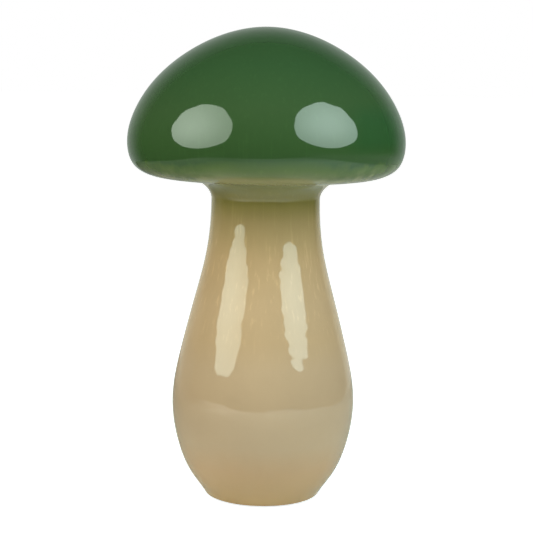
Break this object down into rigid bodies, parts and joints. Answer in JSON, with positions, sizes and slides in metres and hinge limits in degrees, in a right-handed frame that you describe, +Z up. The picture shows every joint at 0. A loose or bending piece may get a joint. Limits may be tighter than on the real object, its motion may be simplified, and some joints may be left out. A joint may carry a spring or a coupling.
{
  "type": "mushroom ornament",
  "caption": "Free-standing mushroom ornament of glossy glazed ceramic: a hollow domed cap on a hollow stem with a narrow neck, a round bulb and a small flat foot.",
  "frame": {"origin": "on the axis of the stem, in the plane of the felt pads' undersides", "axes": "+Z up along the axis, towards the cap; the shape is turned, so +X and +Y are alike"},
  "size_m": [0.1464, 0.1464, 0.25],
  "materials": {
    "cap_glaze": "glossy green glaze over white earthenware",
    "stem_glaze": "glossy warm beige glaze over white earthenware",
    "joint_glaze": "glossy glaze, olive beige where the green thins out",
    "plug_rubber": "translucent white silicone",
    "pad_felt": "short fawn felt"
  },
  "bodies": {
    "root": {"cap_shell": "cap_glaze", "stem_shell": "stem_glaze", "luting_ring": "joint_glaze", "vent_plug": "plug_rubber", "felt_pad_1": "pad_felt", "felt_pad_2": "pad_felt", "felt_pad_3": "pad_felt", "felt_pad_4": "pad_felt"}
  },
  "joints": []
}
